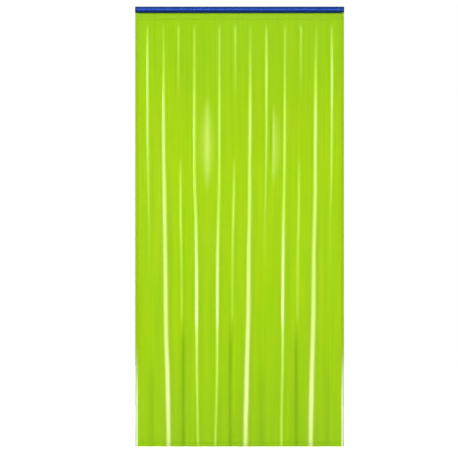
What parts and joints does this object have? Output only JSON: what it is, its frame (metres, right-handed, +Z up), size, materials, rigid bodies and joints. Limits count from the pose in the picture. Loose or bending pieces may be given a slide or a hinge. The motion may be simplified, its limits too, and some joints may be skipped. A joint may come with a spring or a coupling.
{
  "type": "welding curtain screen",
  "caption": "Wall-hung welding curtain: a hemmed sheet of tinted translucent PVC film on trolleys in a slotted round tube rail, drawn aside by hand.",
  "frame": {"origin": "centre of the middle wall plate's two-hole pattern, on the wall face", "axes": "+Z up along the curtain's height, X along the rail, +Y into the wall; the screen's front faces -Y"},
  "size_m": [1.4, 0.0812, 2.95],
  "materials": {
    "rail_blue": "semi-gloss blue powder coat",
    "cap_navy": "satin moulded plastic, navy",
    "screw_steel": "zinc plated",
    "ring_steel": "welded wire, nickel plated",
    "eyelet_black": "pressed, blackened",
    "nylon": "natural nylon",
    "welding_film": "tinted translucent flexible PVC film, glossy, 0.4 mm",
    "film_hem": "the same film folded double and welded"
  },
  "bodies": {
    "rail": {"rail_tube": "rail_blue", "end_cap_left": "cap_navy", "end_cap_right": "cap_navy", "end_cap_screws": "screw_steel", "anchor_stop": "nylon", "anchor_screw": "screw_steel", "wall_plate_left": "rail_blue", "wall_plate_centre": "rail_blue", "wall_plate_right": "rail_blue", "spigot_left": "rail_blue", "spigot_centre": "rail_blue", "spigot_right": "rail_blue", "socket_grub_screws": "screw_steel"},
    "curtain": {"curtain_film": "welding_film", "hem_top": "film_hem", "hem_bottom": "film_hem", "hem_anchor_side": "film_hem", "ring_0": "ring_steel", "eyelet_0": "eyelet_black"},
    "trolley_6": {"trolley_body_6": "nylon", "trolley_axle_6": "screw_steel"},
    "wheels_6": {"trolley_wheels_6": "nylon"},
    "hanger_6": {"ring_6": "ring_steel", "eyelet_6": "eyelet_black", "hem_lead_side": "film_hem"},
    "trolley_5": {"trolley_body_5": "nylon", "trolley_axle_5": "screw_steel"},
    "wheels_5": {"trolley_wheels_5": "nylon"},
    "hanger_5": {"ring_5": "ring_steel", "eyelet_5": "eyelet_black"},
    "trolley_4": {"trolley_body_4": "nylon", "trolley_axle_4": "screw_steel"},
    "wheels_4": {"trolley_wheels_4": "nylon"},
    "hanger_4": {"ring_4": "ring_steel", "eyelet_4": "eyelet_black"},
    "trolley_3": {"trolley_body_3": "nylon", "trolley_axle_3": "screw_steel"},
    "wheels_3": {"trolley_wheels_3": "nylon"},
    "hanger_3": {"ring_3": "ring_steel", "eyelet_3": "eyelet_black"},
    "trolley_2": {"trolley_body_2": "nylon", "trolley_axle_2": "screw_steel"},
    "wheels_2": {"trolley_wheels_2": "nylon"},
    "hanger_2": {"ring_2": "ring_steel", "eyelet_2": "eyelet_black"},
    "trolley_1": {"trolley_body_1": "nylon", "trolley_axle_1": "screw_steel"},
    "wheels_1": {"trolley_wheels_1": "nylon"},
    "hanger_1": {"ring_1": "ring_steel", "eyelet_1": "eyelet_black"}
  },
  "joints": [
    {"name": "curtain_draw", "type": "slide", "parent": "rail", "child": "trolley_6", "axis": [-1, 0, 0], "range_m": [0, 1.11], "deforming": ["curtain_film", "hem_top", "hem_bottom"]},
    {"name": "trolley_slide_5", "type": "slide", "parent": "rail", "child": "trolley_5", "axis": [-1, 0, 0], "range_m": [0, 0.9255]},
    {"name": "trolley_slide_4", "type": "slide", "parent": "rail", "child": "trolley_4", "axis": [-1, 0, 0], "range_m": [0, 0.7405]},
    {"name": "trolley_slide_3", "type": "slide", "parent": "rail", "child": "trolley_3", "axis": [-1, 0, 0], "range_m": [0, 0.5555]},
    {"name": "trolley_slide_2", "type": "slide", "parent": "rail", "child": "trolley_2", "axis": [-1, 0, 0], "range_m": [0, 0.3705]},
    {"name": "trolley_slide_1", "type": "slide", "parent": "rail", "child": "trolley_1", "axis": [-1, 0, 0], "range_m": [0, 0.1855]},
    {"name": "wheel_roll_1", "type": "hinge", "parent": "trolley_1", "child": "wheels_1", "pos_m": [-0.45, -0.06, -0.005], "axis": [0, 1, 0], "range_deg": [-977.1, 0]},
    {"name": "wheel_roll_2", "type": "hinge", "parent": "trolley_2", "child": "wheels_2", "pos_m": [-0.225, -0.06, -0.005], "axis": [0, 1, 0], "range_deg": [-1952.3, 0]},
    {"name": "wheel_roll_3", "type": "hinge", "parent": "trolley_3", "child": "wheels_3", "pos_m": [0, -0.06, -0.005], "axis": [0, 1, 0], "range_deg": [-2927.4, 0]},
    {"name": "wheel_roll_4", "type": "hinge", "parent": "trolley_4", "child": "wheels_4", "pos_m": [0.225, -0.06, -0.005], "axis": [0, 1, 0], "range_deg": [-3902.5, 0]},
    {"name": "wheel_roll_5", "type": "hinge", "parent": "trolley_5", "child": "wheels_5", "pos_m": [0.45, -0.06, -0.005], "axis": [0, 1, 0], "range_deg": [-4877.7, 0]},
    {"name": "wheel_roll_6", "type": "hinge", "parent": "trolley_6", "child": "wheels_6", "pos_m": [0.675, -0.06, -0.005], "axis": [0, 1, 0], "range_deg": [-5852.8, 0]},
    {"name": "curtain_sway", "type": "hinge", "parent": "rail", "child": "curtain", "pos_m": [0, -0.06, -0.015], "axis": [1, 0, 0], "range_deg": [-15, 0.5]},
    {"name": "hanger_slide_1", "type": "slide", "parent": "curtain", "child": "hanger_1", "axis": [-1, 0, 0], "range_m": [0, 0.1855]},
    {"name": "hanger_slide_2", "type": "slide", "parent": "curtain", "child": "hanger_2", "axis": [-1, 0, 0], "range_m": [0, 0.3705]},
    {"name": "hanger_slide_3", "type": "slide", "parent": "curtain", "child": "hanger_3", "axis": [-1, 0, 0], "range_m": [0, 0.5555]},
    {"name": "hanger_slide_4", "type": "slide", "parent": "curtain", "child": "hanger_4", "axis": [-1, 0, 0], "range_m": [0, 0.7405]},
    {"name": "hanger_slide_5", "type": "slide", "parent": "curtain", "child": "hanger_5", "axis": [-1, 0, 0], "range_m": [0, 0.9255]},
    {"name": "hanger_slide_6", "type": "slide", "parent": "curtain", "child": "hanger_6", "axis": [-1, 0, 0], "range_m": [0, 1.1105]}
  ],
  "couplings": [
    {"joint": "trolley_slide_5", "follows": "curtain_draw", "ratio": 0.83333},
    {"joint": "trolley_slide_4", "follows": "curtain_draw", "ratio": 0.66667},
    {"joint": "trolley_slide_3", "follows": "curtain_draw", "ratio": 0.5},
    {"joint": "trolley_slide_2", "follows": "curtain_draw", "ratio": 0.33333},
    {"joint": "trolley_slide_1", "follows": "curtain_draw", "ratio": 0.16667},
    {"joint": "wheel_roll_1", "follows": "curtain_draw", "rad_per_m": -15.333},
    {"joint": "wheel_roll_2", "follows": "curtain_draw", "rad_per_m": -30.665},
    {"joint": "wheel_roll_3", "follows": "curtain_draw", "rad_per_m": -45.998},
    {"joint": "wheel_roll_4", "follows": "curtain_draw", "rad_per_m": -61.331},
    {"joint": "wheel_roll_5", "follows": "curtain_draw", "rad_per_m": -76.664},
    {"joint": "wheel_roll_6", "follows": "curtain_draw", "rad_per_m": -91.996},
    {"joint": "hanger_slide_1", "follows": "curtain_draw", "ratio": 0.16667},
    {"joint": "hanger_slide_2", "follows": "curtain_draw", "ratio": 0.33333},
    {"joint": "hanger_slide_3", "follows": "curtain_draw", "ratio": 0.5},
    {"joint": "hanger_slide_4", "follows": "curtain_draw", "ratio": 0.66667},
    {"joint": "hanger_slide_5", "follows": "curtain_draw", "ratio": 0.83333},
    {"joint": "hanger_slide_6", "follows": "curtain_draw", "ratio": 1}
  ]
}
